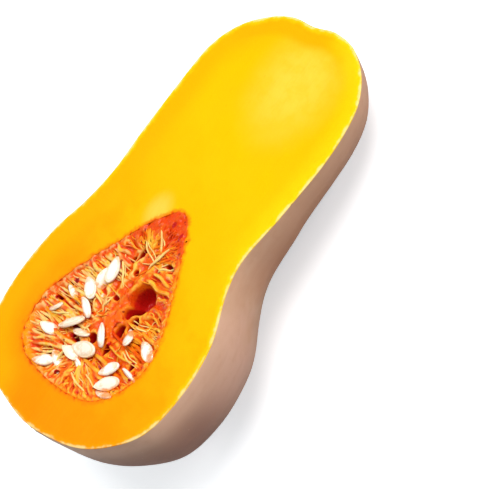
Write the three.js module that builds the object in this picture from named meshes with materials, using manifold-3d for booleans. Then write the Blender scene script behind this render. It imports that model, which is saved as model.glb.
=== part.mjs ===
// Half a butternut squash, cut lengthwise, lying on its rounded back with its seeds in it.
// Millimetres and degrees. +X runs towards the stem end, +Z up, z = 0 is the surface it lies on,
// and the origin is the middle of its footprint.
//
// Everything is drawn on the squash as the knife left it: x runs from the blossom end, the cut
// is the plane z = 0 and the half lies below it. Only at the end is it tipped to its resting slope.
import * as THREE from "three";
import { mergeVertices } from "three/addons/utils/BufferGeometryUtils.js";
import Module from "manifold-3d";

const wasm = await Module();
wasm.setup();

// ---------------------------------------------------------------- driving dimensions

// The grown outline, as [distance from the blossom end, radius].
const squashProfile = [
  [0.6, 0], [0, 4], [1.4, 15], [7, 36.2], [17, 50.8], [33, 61.8], [56, 66], [80, 63.2], [103, 54.8],
  [124, 50.3], [150, 51.6], [177, 53.3], [200, 51.2], [217, 43.2], [228, 30], [232.4, 17], [231.6, 9],
  [229, 4], [228, 0],
];
const profileSteps = 40;
const roundSteps = 56;

// The knife ran above the middle of the bulb and below the middle of the neck.
const bulbAxisDepth = 10; // the grown axis under the cut, in the bulb
const neckAxisDepth = -8; // and over it, in the neck
const crossing = [90, 185]; // it comes through the cut between these distances
const swayWidth = 1.9; // the squash sways to either side of straight
const swayStart = 92;
const swayLength = 125;
const stemLean = 0.13; // the stem end leans to one side, by this share of the width
const stemLeanFrom = 178;
const stemLeanTo = 232;
const swells = [ // faint ribs, each a share of the radius
  { ribs: 3, share: 0.007, turn: 1 },
  { ribs: 5, share: 0.004, turn: 0 },
];

// The seed cavity, drawn the same way about the same axis.
const cavityProfile = [
  [22.6, 0], [23.4, 15], [27, 28.3], [36, 36.8], [50, 41], [64, 39.2], [80, 32.6], [96, 24.2],
  [108, 17.4], [117, 11.2], [123.5, 5.6], [126.5, 0],
];
const cavitySteps = 18;
const cavityRoundSteps = 36;
const cavityMiddle = { x: 55, y: 0 };
const cavityShift = 1.8; // it lies to one side of the grown axis at its middle
const cavitySkew = 0.09; // and swings back across it towards the stem end
const pulpGap = 0.35; // between the pulp and the cavity's wall

// The stringy pulp, which the knife left a little below the cut.
const pulpLevel = -3.4;
const crown = { high: 1.3, wide: 24 }; // it stands a little higher in the middle of the bulb
const cavityStretch = 1.4; // the cavity is this much longer than it is wide
const ridges = { count: 17, high: 0.9, curl: 0.11, from: 5, to: 22 }; // they run from the rim inwards
const lumps = { high: 0.45, along: 11.4, across: 10.5, shift: 1.3 };
const hollows = [
  { x: 80, y: -13.5, long: 10.5, wide: 8.5, deep: 15 },
  { x: 67, y: -15, long: 6, wide: 4, deep: 7 },
  { x: 96, y: 5, long: 5, wide: 3, deep: 6 },
  { x: 52, y: -3, long: 5, wide: 3, deep: 5 },
  { x: 65, y: 29, long: 5, wide: 3, deep: 4 },
];

// A seed is a flat drop, and the rows say where the seeds lie: along a line from one
// point to another, turning from one heading to the other as they go.
const seed = { long: 15.5, wide: 8.2, thick: 3.2, taper: 0.3 };
const seedRows = [
  { from: [84, 15], to: [43, 22], seeds: 6, heading: [15, 125], lift: 0.6, tip: 14 },
  { from: [57, -5], to: [28, 15], seeds: 4, heading: [65, 105], lift: 0.8, tip: -9 },
  { from: [63, -21], to: [34, -30], seeds: 4, heading: [90, 115], lift: 0.5, tip: 12 },
  { from: [63, -32], to: [47, -13], seeds: 3, heading: [75, 140], lift: 0.3, tip: -16 },
  { from: [92, 10], to: [67, 7], seeds: 3, heading: [85, 30], lift: -0.9, tip: 18 },
  { from: [54, 32], to: [33, 27], seeds: 3, heading: [60, 110], lift: -1.1, tip: 15 },
  { from: [30, -3], to: [35, -19], seeds: 2, heading: [100, 120], lift: -0.8, tip: 12 },
];
const seedStagger = { along: 1.5, across: 1.2, roll: 18, heading: 9 }; // every other one goes the other way
const seedRise = 0.5; // its middle over the pulp
const seedRound = 8;
const seedRings = 6;

// Loose strings that cross the pulp, each from one point to another over a low arch.
const strings = [
  { from: [114, 6], to: [100, -7] }, { from: [104, 10], to: [96, -5] }, { from: [92, 15], to: [79, 3] },
  { from: [109, -9], to: [92, -2] }, { from: [101, -16], to: [94, -8] }, { from: [73, 25], to: [66, 7] },
  { from: [47, 34], to: [55, 17] }, { from: [33, 1], to: [29, -21] }, { from: [37, -8], to: [32, -26] },
  { from: [70, -28], to: [67, -12] }, { from: [53, -35], to: [55, -20] }, { from: [26, 8], to: [41, 9] },
];
const string = { thick: 1.7, sides: 5, steps: 6, arch: 1.6, sunk: 1.2 };

const restSlope = 14.0; // it tips this far towards the stem end when it is laid down
const flatDepth = 0.5; // pressed flat by this much where it touches

const reach = 400; // further than any of it
const reliefBlock = { low: [15, -50, -1], high: [135, 50, 30], steps: [34, 28, 1] }; // over the pulp
const turn = 2 * Math.PI;

// ---------------------------------------------------------------- solids

// A closed three.js geometry as a manifold solid, without the slivers at a lathe's poles.
function solid(geometry) {
  const bare = (geometry.index ? geometry.toNonIndexed() : geometry).clone();
  for (const name of Object.keys(bare.attributes)) if (name !== "position") bare.deleteAttribute(name);
  const merged = mergeVertices(bare, 1e-4);
  const index = merged.index.array;
  const kept = [];
  for (let i = 0; i < index.length; i += 3) {
    const [a, b, c] = index.slice(i, i + 3);
    if (a !== b && b !== c && c !== a) kept.push(a, b, c);
  }
  const mesh = new wasm.Mesh({
    numProp: 3,
    vertProperties: new Float32Array(merged.attributes.position.array),
    triVerts: new Uint32Array(kept),
  });
  return new wasm.Manifold(mesh);
}

// And back again.
function geometryOf(manifold) {
  const mesh = manifold.getMesh();
  return new THREE.BufferGeometry()
    .setAttribute("position", new THREE.BufferAttribute(new Float32Array(mesh.vertProperties), 3))
    .setIndex(new THREE.BufferAttribute(new Uint32Array(mesh.triVerts), 1));
}

function movePoints(geometry, move) {
  const position = geometry.attributes.position;
  const p = new THREE.Vector3();
  for (let i = 0; i < position.count; i++) {
    move(p.fromBufferAttribute(position, i));
    position.setXYZ(i, p.x, p.y, p.z);
  }
  return geometry;
}

// ---------------------------------------------------------------- the squash

const { smoothstep, lerp, degToRad } = THREE.MathUtils;

function axisDepth(x) {
  return lerp(bulbAxisDepth, neckAxisDepth, smoothstep(x, ...crossing));
}

function axisSway(x) {
  return swayWidth * Math.sin((turn * (x - swayStart)) / swayLength);
}

// Carries a shape drawn about a straight axis onto the grown one.
function bend(p) {
  const x = p.x;
  const y = p.y;
  p.x -= stemLean * y * smoothstep(x, stemLeanFrom, stemLeanTo);
  p.y += axisSway(x);
  p.z -= axisDepth(x);
}

// A profile of [x, radius] turned about the X axis.
function turned(profile, steps, round) {
  const curve = new THREE.SplineCurve(profile.map(([x, radius]) => new THREE.Vector2(radius, x)));
  const points = curve.getSpacedPoints(steps);
  points[0].x = 0;
  points[steps].x = 0;
  points.forEach((point) => (point.x = Math.max(point.x, 0)));
  return new THREE.LatheGeometry(points, round).rotateZ(-Math.PI / 2);
}

function wholeSquash() {
  return movePoints(turned(squashProfile, profileSteps, roundSteps), (p) => {
    const round = Math.atan2(p.z, p.y);
    const swell = swells.reduce((sum, s) => sum + s.share * Math.cos(s.ribs * round + s.turn), 1);
    p.y *= swell;
    p.z *= swell;
    bend(p);
  });
}

function cavity(gap) {
  const ends = [cavityProfile[0][0], cavityProfile.at(-1)[0]];
  const middle = (ends[0] + ends[1]) / 2;
  const shrink = 1 - (2 * gap) / (ends[1] - ends[0]);
  const profile = cavityProfile.map(([x, r]) => [middle + (x - middle) * shrink, Math.max(r - gap, 0)]);
  return movePoints(turned(profile, cavitySteps, cavityRoundSteps), (p) => {
    p.y += cavityShift - cavitySkew * (p.x - cavityMiddle.x);
    bend(p);
  });
}

function boxBetween(low, high, steps = [1, 1, 1]) {
  const size = high.map((value, i) => value - low[i]);
  return new THREE.BoxGeometry(...size, ...steps).translate(...low.map((value, i) => value + size[i] / 2));
}

const overTheCut = boxBetween([-reach, -reach, 0], [reach, reach, reach]);

function squashHalf() {
  return solid(wholeSquash()).subtract(solid(overTheCut)).subtract(solid(cavity(0)));
}

// ---------------------------------------------------------------- pulp, strings and seeds

// The height of the pulp's surface, measured from the cut.
function pulpHeight(x, y) {
  const dx = x - cavityMiddle.x;
  const dy = y - cavityMiddle.y;
  const out = Math.hypot(dx / cavityStretch, dy);
  const round = Math.atan2(dy, dx / cavityStretch);
  const ridge = Math.cos(ridges.count * round + ridges.curl * out) * smoothstep(out, ridges.from, ridges.to);
  const lump = Math.cos((turn * dx) / lumps.along + lumps.shift) * Math.cos((turn * dy) / lumps.across);
  let height = pulpLevel + crown.high * Math.exp(-((out / crown.wide) ** 2));
  height += ridges.high * ridge + lumps.high * lump;
  for (const hollow of hollows) {
    const share = ((x - hollow.x) / hollow.long) ** 2 + ((y - hollow.y) / hollow.wide) ** 2;
    height -= hollow.deep * Math.exp(-(share ** 1.5));
  }
  return height;
}

function overThePulp() {
  return movePoints(boxBetween(reliefBlock.low, reliefBlock.high, reliefBlock.steps), (p) => {
    if (p.z === reliefBlock.low[2]) p.z = pulpHeight(p.x, p.y);
  });
}

// One seed, pointed at its +X end and lying flat about the origin.
function seedShape() {
  return movePoints(new THREE.SphereGeometry(0.5, seedRound, seedRings).rotateZ(Math.PI / 2), (p) => {
    const along = 2 * p.x;
    p.x *= seed.long;
    p.y *= seed.wide * (1 - seed.taper * smoothstep(along, 0, 1));
    p.z *= seed.thick;
  });
}

function seedSolids() {
  const shape = seedShape();
  return seedRows.flatMap((row) =>
    Array.from({ length: row.seeds }, (_, i) => {
      const share = i / (row.seeds - 1);
      const side = i % 2 ? 1 : -1;
      const x = lerp(row.from[0], row.to[0], share) + seedStagger.along * side;
      const y = lerp(row.from[1], row.to[1], share) + seedStagger.across * side;
      const roll = degToRad(seedStagger.roll * side);
      const tip = degToRad(row.tip * side);
      const heading = degToRad(lerp(...row.heading, share) + seedStagger.heading * side);
      const place = new THREE.Matrix4().makeRotationFromEuler(new THREE.Euler(roll, tip, heading, "ZYX"));
      place.setPosition(x, y, pulpHeight(x, y) + row.lift + seedRise);
      return solid(shape.clone().applyMatrix4(place));
    }),
  );
}

function stringSolids() {
  const corners = Array.from({ length: string.sides }, (_, side) => {
    const angle = (turn * side) / string.sides;
    return new THREE.Vector2(Math.cos(angle), Math.sin(angle)).multiplyScalar(string.thick / 2);
  });
  const section = new THREE.Shape(corners);
  return strings.map(({ from, to }) => {
    const start = new THREE.Vector3(...from, pulpHeight(...from) - string.sunk);
    const end = new THREE.Vector3(...to, pulpHeight(...to) - string.sunk);
    const top = start.clone().lerp(end, 0.5);
    top.z = Math.max(pulpHeight(top.x, top.y), pulpLevel) + string.arch;
    const extrudePath = new THREE.QuadraticBezierCurve3(start, top, end);
    const shape = { extrudePath, steps: string.steps, bevelEnabled: false };
    return solid(new THREE.ExtrudeGeometry(section, shape));
  });
}

// The outermost skin of a solid: no scraps beside it and no hollows sealed inside it.
function oneBody(manifold) {
  return manifold.decompose().sort((a, b) => b.volume() - a.volume())[0];
}

// What would reach into the flesh is trimmed to the cavity.
function pulpWithSeeds() {
  const room = solid(cavity(pulpGap));
  let pulp = room.subtract(solid(overThePulp()));
  for (const grown of [...stringSolids(), ...seedSolids()]) pulp = pulp.add(grown);
  return oneBody(pulp.intersect(room));
}

// ---------------------------------------------------------------- laid down

// Tips a shape from the knife's plane to the slope at which the half lies.
function tipped(manifold) {
  return geometryOf(manifold).rotateY(degToRad(restSlope));
}

const halfTipped = tipped(squashHalf());
halfTipped.computeBoundingBox();
const lowest = halfTipped.boundingBox.min.z + flatDepth;
halfTipped.translate(0, 0, -lowest);
const underTheSurface = boxBetween([-reach, -reach, -reach], [reach, reach, 0]);
const halfGeometry = geometryOf(solid(halfTipped).subtract(solid(underTheSurface)));

halfGeometry.computeBoundingBox();
const middle = halfGeometry.boundingBox.getCenter(new THREE.Vector3());
halfGeometry.translate(-middle.x, -middle.y, 0);
const pulpGeometry = tipped(pulpWithSeeds()).translate(-middle.x, -middle.y, -lowest);

function piece(name, geometry, color, roughness) {
  geometry.computeVertexNormals();
  const material = new THREE.MeshStandardMaterial({ color, roughness, metalness: 0, flatShading: true });
  const mesh = new THREE.Mesh(geometry, material);
  mesh.name = name;
  return mesh;
}

const squash = new THREE.Group();
squash.add(piece("squash_half", halfGeometry, 0xffb81c, 0.45));
squash.add(piece("pulp_with_seeds", pulpGeometry, 0xe8641e, 0.35));

export default squash;
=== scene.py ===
import math
import random

import bpy
import numpy as np
from mathutils import Matrix, Vector, kdtree, noise


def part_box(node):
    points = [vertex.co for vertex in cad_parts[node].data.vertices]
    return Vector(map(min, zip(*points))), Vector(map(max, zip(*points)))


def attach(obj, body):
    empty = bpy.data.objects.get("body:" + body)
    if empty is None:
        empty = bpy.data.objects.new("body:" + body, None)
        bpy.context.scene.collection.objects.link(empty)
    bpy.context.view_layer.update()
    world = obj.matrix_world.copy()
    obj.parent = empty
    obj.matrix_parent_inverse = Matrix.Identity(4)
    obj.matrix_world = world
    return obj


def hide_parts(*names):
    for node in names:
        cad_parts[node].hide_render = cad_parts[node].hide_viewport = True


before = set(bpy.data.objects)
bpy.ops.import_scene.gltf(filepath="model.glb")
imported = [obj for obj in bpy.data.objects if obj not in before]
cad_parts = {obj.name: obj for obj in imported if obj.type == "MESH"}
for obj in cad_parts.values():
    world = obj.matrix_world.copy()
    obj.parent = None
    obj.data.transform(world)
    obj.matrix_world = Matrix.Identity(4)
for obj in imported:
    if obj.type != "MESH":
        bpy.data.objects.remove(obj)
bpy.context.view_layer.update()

# Half a butternut squash on its back. Sizes are in millimetres and are drawn as the knife left the
# squash: x from the blossom end, the cut at z = 0 and the half below it. layDown carries them to the floor.
mm = 0.001
turn = 2 * math.pi
random.seed(11)

squash = {
    "profile": [(0.6, 0), (0, 4), (1.4, 15), (7, 36.2), (17, 50.8), (33, 61.8), (56, 66), (80, 63.2),
                (103, 54.8), (124, 50.3), (150, 51.6), (177, 53.3), (200, 51.2), (217, 43.2), (228, 30),
                (232.4, 17), (231.6, 9), (229, 4), (228, 0)],
    "rings": 210,
    "around": 240,
    "axisDepth": (10, -8),      # the grown axis under the cut in the bulb, and over it in the neck
    "crossing": (90, 185),
    "sway": 1.9,
    "swayFrom": 92,
    "swayOver": 125,
    "stemLean": 0.13,
    "stemLeanAt": (178, 232),
    # swells of its -Y side: middle, half length, share of the radius
    "fuller": [(138, 22, 0.034), (91, 16, 0.029), (30, 15, 0.03), (207, 8, 0.018)],
    "swells": [(3, 0.007, 1), (5, 0.004, 0)],   # faint ribs: how many, share of the radius, turned by
    "dent": 0.2,
    "dents": [(1, 0.6, 17, 3), (0.5, 0.4, 6, 8)],    # share, how far drawn out, size, start of the noise
    "puckers": {"count": 11, "high": 0.55, "from": 208, "to": 229},    # pleats by the stem's dimple
    "restSlope": 14.0,
    "rimRound": 0.4,            # the cut edge of the skin
    "rimClear": 0.7,            # no point of the skin lies nearer than this under its edge
    "shortEdge": 0.45,
    "rimRings": (0.5, 0.8),     # widths of the rings of faces along the cut's edges
    "grid": 2.2,
}
cavity = {
    "profile": [(22.6, 0), (23.4, 15), (27, 28.3), (36, 36.8), (50, 41), (64, 39.2), (80, 32.6), (96, 24.2),
                (108, 17.4), (117, 11.2), (123.5, 5.6), (126.5, 0)],
    "rings": 110,
    "around": 150,
    "middle": (55, 0),
    "shift": 1.8,
    "skew": 0.09,
    "ragged": 0.9,
    "room": (72, 62, 52),       # an oval that holds the cavity's rim: middle, half length, half width
}


def onlyActive(piece):
    bpy.ops.object.select_all(action="DESELECT")
    piece.select_set(True)
    bpy.context.view_layer.objects.active = piece


def editing(piece, mode="VERT"):
    onlyActive(piece)
    bpy.ops.object.mode_set(mode="EDIT")
    bpy.ops.mesh.select_mode(type=mode)


def doneEditing():
    bpy.ops.object.mode_set(mode="OBJECT")


def selectAll():
    bpy.ops.mesh.select_all(action="SELECT")


def faceOutwards():
    selectAll()
    bpy.ops.mesh.normals_make_consistent(inside=False)


def points(piece):
    flat = np.empty(len(piece.data.vertices) * 3)
    piece.data.vertices.foreach_get("co", flat)
    return flat.reshape(-1, 3)


def setPoints(piece, places):
    piece.data.vertices.foreach_set("co", np.ascontiguousarray(places).ravel())
    piece.data.update()


def applyModifier(piece, kind, **settings):
    onlyActive(piece)
    bpy.ops.object.modifier_add(type=kind)
    modifier = piece.modifiers[-1]
    for name, value in settings.items():
        setattr(modifier, name, value)
    bpy.ops.object.modifier_apply(modifier=modifier.name)


def joined(pieces, name):
    bpy.ops.object.select_all(action="DESELECT")
    for piece in pieces:
        piece.select_set(True)
    bpy.context.view_layer.objects.active = pieces[0]
    bpy.ops.object.join()
    pieces[0].name = name
    return pieces[0]


def pointValues(piece, name, values):
    attribute = piece.data.attributes.new(name, "FLOAT", "POINT")
    attribute.data.foreach_set("value", np.asarray(values, np.float32))


def smoothstep(x, low, high):
    t = np.clip((x - low) / (high - low), 0, 1)
    return t * t * (3 - 2 * t)


def lumpy(places, size, seed=0.0):    # smooth noise from -1 to 1, in lumps about size wide
    return np.array([noise.noise(Vector((x / size + seed, y / size, z / size))) for x, y, z in places])


def evenly(profile, steps):    # a smooth curve through the profile, at evenly spaced places along it
    p = np.array([profile[0], *profile, profile[-1]], float)
    t = np.linspace(0, 1, 40, endpoint=False)[:, None]
    curve = []
    for a, b, c, d in zip(p, p[1:], p[2:], p[3:]):
        slopeB, slopeC = (c - a) / 2, (d - b) / 2
        cubic = 2 * b - 2 * c + slopeB + slopeC
        square = 3 * c - 3 * b - 2 * slopeB - slopeC
        curve.append(cubic * t ** 3 + square * t ** 2 + slopeB * t + b)
    curve = np.vstack([*curve, p[-1:]])
    run = np.concatenate([[0], np.cumsum(np.hypot(*np.diff(curve, axis=0).T))])
    at = np.linspace(0, run[-1], steps + 1)
    found = np.column_stack([np.interp(at, run, curve[:, 0]), np.interp(at, run, curve[:, 1])])
    found[:, 1] = np.maximum(found[:, 1], 0)
    found[[0, -1], 1] = 0
    return found


def turned(name, profile, rings, around):    # distance and radius, spun about the X axis
    outline = evenly(profile, rings)
    bpy.ops.mesh.primitive_plane_add(size=1, location=(outline[0][0], 0, 0))
    piece = bpy.context.object
    piece.name = name
    bpy.ops.object.transform_apply(location=True)
    editing(piece)
    selectAll()
    bpy.ops.mesh.merge(type="CENTER")
    for alongX, outwards in np.diff(outline, axis=0):
        bpy.ops.mesh.extrude_region_move(TRANSFORM_OT_translate={"value": (alongX, 0, outwards)})
    selectAll()
    bpy.ops.mesh.spin(steps=around, angle=turn, center=(0, 0, 0), axis=(1, 0, 0))
    selectAll()
    bpy.ops.mesh.remove_doubles(threshold=0.001)
    faceOutwards()
    doneEditing()
    return piece


def grown(places):    # from a straight axis onto the grown squash
    x, y, z = places.T
    lean = squash["stemLean"] * y * smoothstep(x, *squash["stemLeanAt"])
    sway = squash["sway"] * np.sin(turn * (x - squash["swayFrom"]) / squash["swayOver"])
    inBulb, inNeck = squash["axisDepth"]
    depth = inBulb + (inNeck - inBulb) * smoothstep(x, *squash["crossing"])
    return np.column_stack([x - lean, y + sway, z - depth])


def squashBody():
    piece = turned("squashHalf", squash["profile"], squash["rings"], squash["around"])
    places = points(piece)
    angle = np.arctan2(places[:, 2], places[:, 1])
    dents = sum(share * lumpy(places * (long, 1, 1), size, start)
                for share, long, size, start in squash["dents"]) - 1
    radius = np.maximum(np.hypot(places[:, 1], places[:, 2]), 1)
    swell = 1 + sum(share * np.cos(ribs * angle + start) for ribs, share, start in squash["swells"])
    swell += squash["dent"] * dents * smoothstep(radius, 0, 12) / radius
    rightSide = smoothstep(-places[:, 1] / radius, 0.2, 1)
    swell += sum(share * np.exp(-((places[:, 0] - middle) / long) ** 2)
                 for middle, long, share in squash["fuller"]) * rightSide
    puckers = squash["puckers"]
    pleats = np.cos(puckers["count"] * angle + 2 * lumpy(places, 14, 40)) - 1
    pleats *= smoothstep(places[:, 0], puckers["from"], puckers["to"]) * smoothstep(radius, 6, 16)
    swell += puckers["high"] / 2 * pleats / radius
    places[:, 1:] *= swell[:, None]
    setPoints(piece, grown(places))
    editing(piece)
    selectAll()
    bpy.ops.mesh.bisect(plane_co=(0, 0, 0), plane_no=(0, 0, 1), use_fill=True, clear_outer=True)
    doneEditing()
    return piece


def cavityShape(name, swollen=0.0):
    piece = turned(name, cavity["profile"], cavity["rings"], cavity["around"])
    places = points(piece)
    radius = np.hypot(places[:, 1], places[:, 2])
    out = swollen + cavity["ragged"] * (lumpy(places, 9, 20) + lumpy(places, 3.1, 5)) / 2
    places[:, 1:] *= (1 + out * smoothstep(radius, 0, 8) / np.maximum(radius, 1))[:, None]
    places[:, 1] += cavity["shift"] - cavity["skew"] * (places[:, 0] - cavity["middle"][0])
    setPoints(piece, grown(places))
    return piece


def onTheCut(piece):    # the flat faces that the knife left
    flat = [f.normal.z > 0.999 and f.center.z > -0.01 for f in piece.data.polygons]
    return np.array(flat)


def aroundTheCut(piece):    # the cut's edges, and which of them are the cavity's
    flat = onTheCut(piece)
    count = np.zeros(len(piece.data.edges), int)
    edgeOf = np.empty(len(piece.data.loops), int)
    piece.data.loops.foreach_get("edge_index", edgeOf)
    for face in np.flatnonzero(flat):
        polygon = piece.data.polygons[face]
        count[edgeOf[polygon.loop_start:polygon.loop_start + polygon.loop_total]] += 1
    ends = np.empty(len(piece.data.edges) * 2, int)
    piece.data.edges.foreach_get("vertices", ends)
    ends = ends.reshape(-1, 2)
    middle = points(piece)[ends].mean(1)
    x, long, wide = cavity["room"]
    inner = ((middle[:, 0] - x) / long) ** 2 + (middle[:, 1] / wide) ** 2 < 1
    return count == 1, inner, ends


def selectOnly(piece, part, mask):
    for kind in (piece.data.vertices, piece.data.edges, piece.data.polygons):
        kind.foreach_set("select", np.zeros(len(kind), bool))
    part.foreach_set("select", mask)


def clearTheRim(piece):    # so that the bevel has room
    places = points(piece)
    x, long, wide = cavity["room"]
    skin = ((places[:, 0] - x) / long) ** 2 + (places[:, 1] / wide) ** 2 > 1
    near = skin & (places[:, 2] < -0.001) & (places[:, 2] > -squash["rimClear"])
    places[near, 2] = -squash["rimClear"]
    setPoints(piece, places)


def roundTheRim(piece):
    for joining in (True, False):    # first its shortest edges are merged away
        rim, inner, _ = aroundTheCut(piece)
        selectOnly(piece, piece.data.edges, rim & ~inner)
        editing(piece, "EDGE")
        if joining:
            bpy.ops.mesh.remove_doubles(threshold=squash["shortEdge"])
            doneEditing()
    bpy.ops.mesh.bevel(offset=squash["rimRound"], segments=2, affect="EDGES", material=1)
    doneEditing()


def divideTheCut(piece):    # rings of faces along its edges, and a grid over the rest
    selectOnly(piece, piece.data.polygons, onTheCut(piece))
    low, high = points(piece).min(0), points(piece).max(0)
    piece.data.materials.append(materials["flesh"])
    piece.active_material_index = 2
    editing(piece, "FACE")
    for width in squash["rimRings"]:
        bpy.ops.mesh.inset(thickness=width, use_even_offset=False)
    bpy.ops.object.material_slot_assign()
    for axis in (0, 1):
        normal = [float(axis == i) for i in range(3)]
        for at in np.arange(low[axis] + squash["grid"], high[axis], squash["grid"]):
            bpy.ops.mesh.select_all(action="DESELECT")
            bpy.ops.object.material_slot_select()
            bpy.ops.mesh.bisect(plane_co=[at * n for n in normal], plane_no=normal)
    bpy.ops.mesh.select_all(action="DESELECT")
    bpy.ops.object.material_slot_select()
    piece.active_material_index = 1
    bpy.ops.object.material_slot_assign()
    selectAll()
    bpy.ops.mesh.remove_doubles(threshold=0.002)
    doneEditing()
    piece.data.materials.pop(index=2)


def markDepths(piece):    # how far each point of the cut is from the skin and from the cavity
    rim, inner, ends = aroundTheCut(piece)
    places = points(piece)
    for name, loop, below in (("fromSkin", rim & ~inner, 50), ("fromCavity", rim & inner, 0)):
        edge = np.unique(ends[loop])
        tree = kdtree.KDTree(len(edge))
        for i in edge:
            tree.insert(places[i], i)
        tree.balance()
        onTop = places[:, 2] > -squash["rimRound"] - 0.1
        away = [tree.find(place)[2] if top else below for place, top in zip(places, onTop)]
        pointValues(piece, name, away)


def makeHalf():
    body = squashBody()
    flat = onTheCut(body)
    body.data.materials.append(materials["rind"])
    body.data.materials.append(materials["flesh"])
    body.data.polygons.foreach_set("material_index", flat.astype(int))
    cutter = cavityShape("cavityCutter")
    cutter.data.materials.append(materials["rind"])
    cutter.data.materials.append(materials["flesh"])
    cutter.data.polygons.foreach_set("material_index", np.ones(len(cutter.data.polygons), int))
    applyModifier(body, "BOOLEAN", object=cutter, operation="DIFFERENCE", solver="MANIFOLD")
    bpy.data.objects.remove(cutter)
    clearTheRim(body)
    roundTheRim(body)
    divideTheCut(body)
    markDepths(body)
    return body


pulp = {
    "level": -3.4,
    "crown": (1.3, 24),
    "stretch": 1.4,
    "ridges": {"count": 17, "high": 0.9, "curl": 0.11, "from": 5, "to": 22},
    "lumps": {"high": 0.45, "along": 11.4, "across": 10.5, "shift": 1.3},
    "atRim": -0.1,
    "rimRise": (0.82, 0.985),     # shares of the way from the middle to the rim
    "hollows": [(79.5, -10.5, 6.6, 6, 12, 0.45), (71.5, -9, 3.6, 2.2, 9, 1), (68, -15.5, 3.4, 1.7, 9, 1),
                (61.5, -11.2, 3, 2, 8, 1), (97, 6.6, 4, 1.5, 7, 1), (92.5, 9.5, 1.6, 1, 5, 0.8),
                (51.2, 0.2, 2.2, 2.4, 7, 1), (51, -11, 3.4, 1.3, 7, 1), (46, 9.5, 1.2, 4, 6, 0.9),
                (67.8, 29.6, 1.5, 1.3, 5, 1), (63.5, 31.4, 2, 1.3, 5, 1), (56.5, 33.4, 1.5, 1.3, 5, 1),
                (59.5, 22, 1.5, 1.2, 5, 0.9), (50.2, 12, 1, 4, 5, 0.8), (33.8, 18.3, 1.7, 1.6, 5, 0.9),
                (30.6, 15, 1, 4, 4, 0.7), (28, 4.4, 1.2, 1.3, 5, 0.9), (73, 3.5, 1.2, 1.8, 4, 0.7),
                (117, -1.5, 1.6, 0.8, 2.5, 0.5), (114, -9.6, 2.2, 0.8, 2.5, 0.5),
                (99.5, -13, 1.6, 2.2, 4, 0.6), (52.5, -30.5, 2.4, 1.2, 5, 0.9),
                (48.5, -35.5, 1.8, 1.1, 4, 0.9), (36, -22, 1.6, 1, 4, 0.7),
                (88, 2.6, 1.4, 1, 4, 0.7)],    # place, half length, half width, depth, darkness of the painted shade laid in it
    "steep": 2.4,
    "block": ((15, -50), (135, 50), 0.5, 40),    # the block pressed into it: corners, spacing, height
    "bite": 0.3,                # it runs this far into the flesh, so that no gap shows
    "fineRelief": 0.55,
    "grain": {"middle": 70, "stretch": 1.4, "around": 14, "out": 0.22},     # drawn out from the middle
    "relief": [(0.7, 2.6, 9), (0.5, 1.2, 30)],    # share, size, start of the noise
    "folds": {"count": 46, "bend": 3, "high": 0.7, "within": (0.5, 0.85)},    # that run in from the rim
    "voxel": 0.5,
    "hiddenUnder": -13,         # where its unseen underside is made coarse
    "kept": 0.6,
    "smoothing": 14,            # rounds of it, to find the creases
}


def rimOutline():    # angles seen from the cavity's middle, and how far the rim is that way
    outline = evenly(cavity["profile"], 90)
    over = outline[:, 1] ** 2 - squash["axisDepth"][0] ** 2
    x, half = outline[over > 0, 0], np.sqrt(over[over > 0])
    rim = np.concatenate([np.column_stack([x, half]), np.column_stack([x, -half])[::-1]])
    rim[:, 1] += cavity["shift"] - cavity["skew"] * (rim[:, 0] - cavity["middle"][0])
    rim[:, 1] += squash["sway"] * np.sin(turn * (rim[:, 0] - squash["swayFrom"]) / squash["swayOver"])
    away = rim - cavity["middle"]
    angles = np.arctan2(away[:, 1], away[:, 0])
    order = np.argsort(angles)
    return angles[order], np.hypot(*away[order].T)


rimAngles, rimReaches = rimOutline()


def rimReach(angle):
    return np.interp(angle, rimAngles, rimReaches, period=turn)


def pocketShare(x, y, place):    # 1 inside a hollow, 0 well outside it
    hx, hy, long, wide = place[:4]
    return np.exp(-(((x - hx) / long) ** 2 + ((y - hy) / wide) ** 2) ** pulp["steep"])


def pulpHeight(x, y):
    dx, dy = x - cavity["middle"][0], y - cavity["middle"][1]
    out = np.hypot(dx / pulp["stretch"], dy)
    angle = np.arctan2(dy, dx / pulp["stretch"])
    ridges, lumps = pulp["ridges"], pulp["lumps"]
    high = pulp["level"] + pulp["crown"][0] * np.exp(-(out / pulp["crown"][1]) ** 2)
    high = high + ridges["high"] * np.cos(ridges["count"] * angle + ridges["curl"] * out) * smoothstep(
        out, ridges["from"], ridges["to"])
    high = high + lumps["high"] * np.cos(turn * dx / lumps["along"] + lumps["shift"]) * np.cos(
        turn * dy / lumps["across"])
    for place in pulp["hollows"]:
        high = high - place[4] * pocketShare(x, y, place)
    share = np.hypot(dx, dy) / rimReach(np.arctan2(dy, dx))
    return high + (pulp["atRim"] - high) * smoothstep(share, *pulp["rimRise"])


def inHollow(x, y, share=0.2):
    return any(pocketShare(x, y, place) > share for place in pulp["hollows"])


def stringPath(start, end, lift, sunk, wander, knots=7):    # over the pulp from one place to another
    t = np.linspace(0, 1, knots)
    start, end = np.array(start), np.array(end)
    along = end - start
    aside = np.array([-along[1], along[0]]) / max(np.hypot(*along), 1)
    waves = wander * np.sin(turn * (t * random.uniform(0.6, 1.5) + random.random())) * np.sin(math.pi * t)
    place = start + t[:, None] * along + waves[:, None] * aside
    z = pulpHeight(place[:, 0], place[:, 1])
    z = np.maximum(z, np.convolve(np.pad(z, 1, mode="edge"), [0.3, 0.4, 0.3], mode="valid"))
    z = z - sunk + (lift + sunk) * np.sin(math.pi * t) ** 0.7
    return np.column_stack([place, np.minimum(z, -0.35)])


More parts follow.
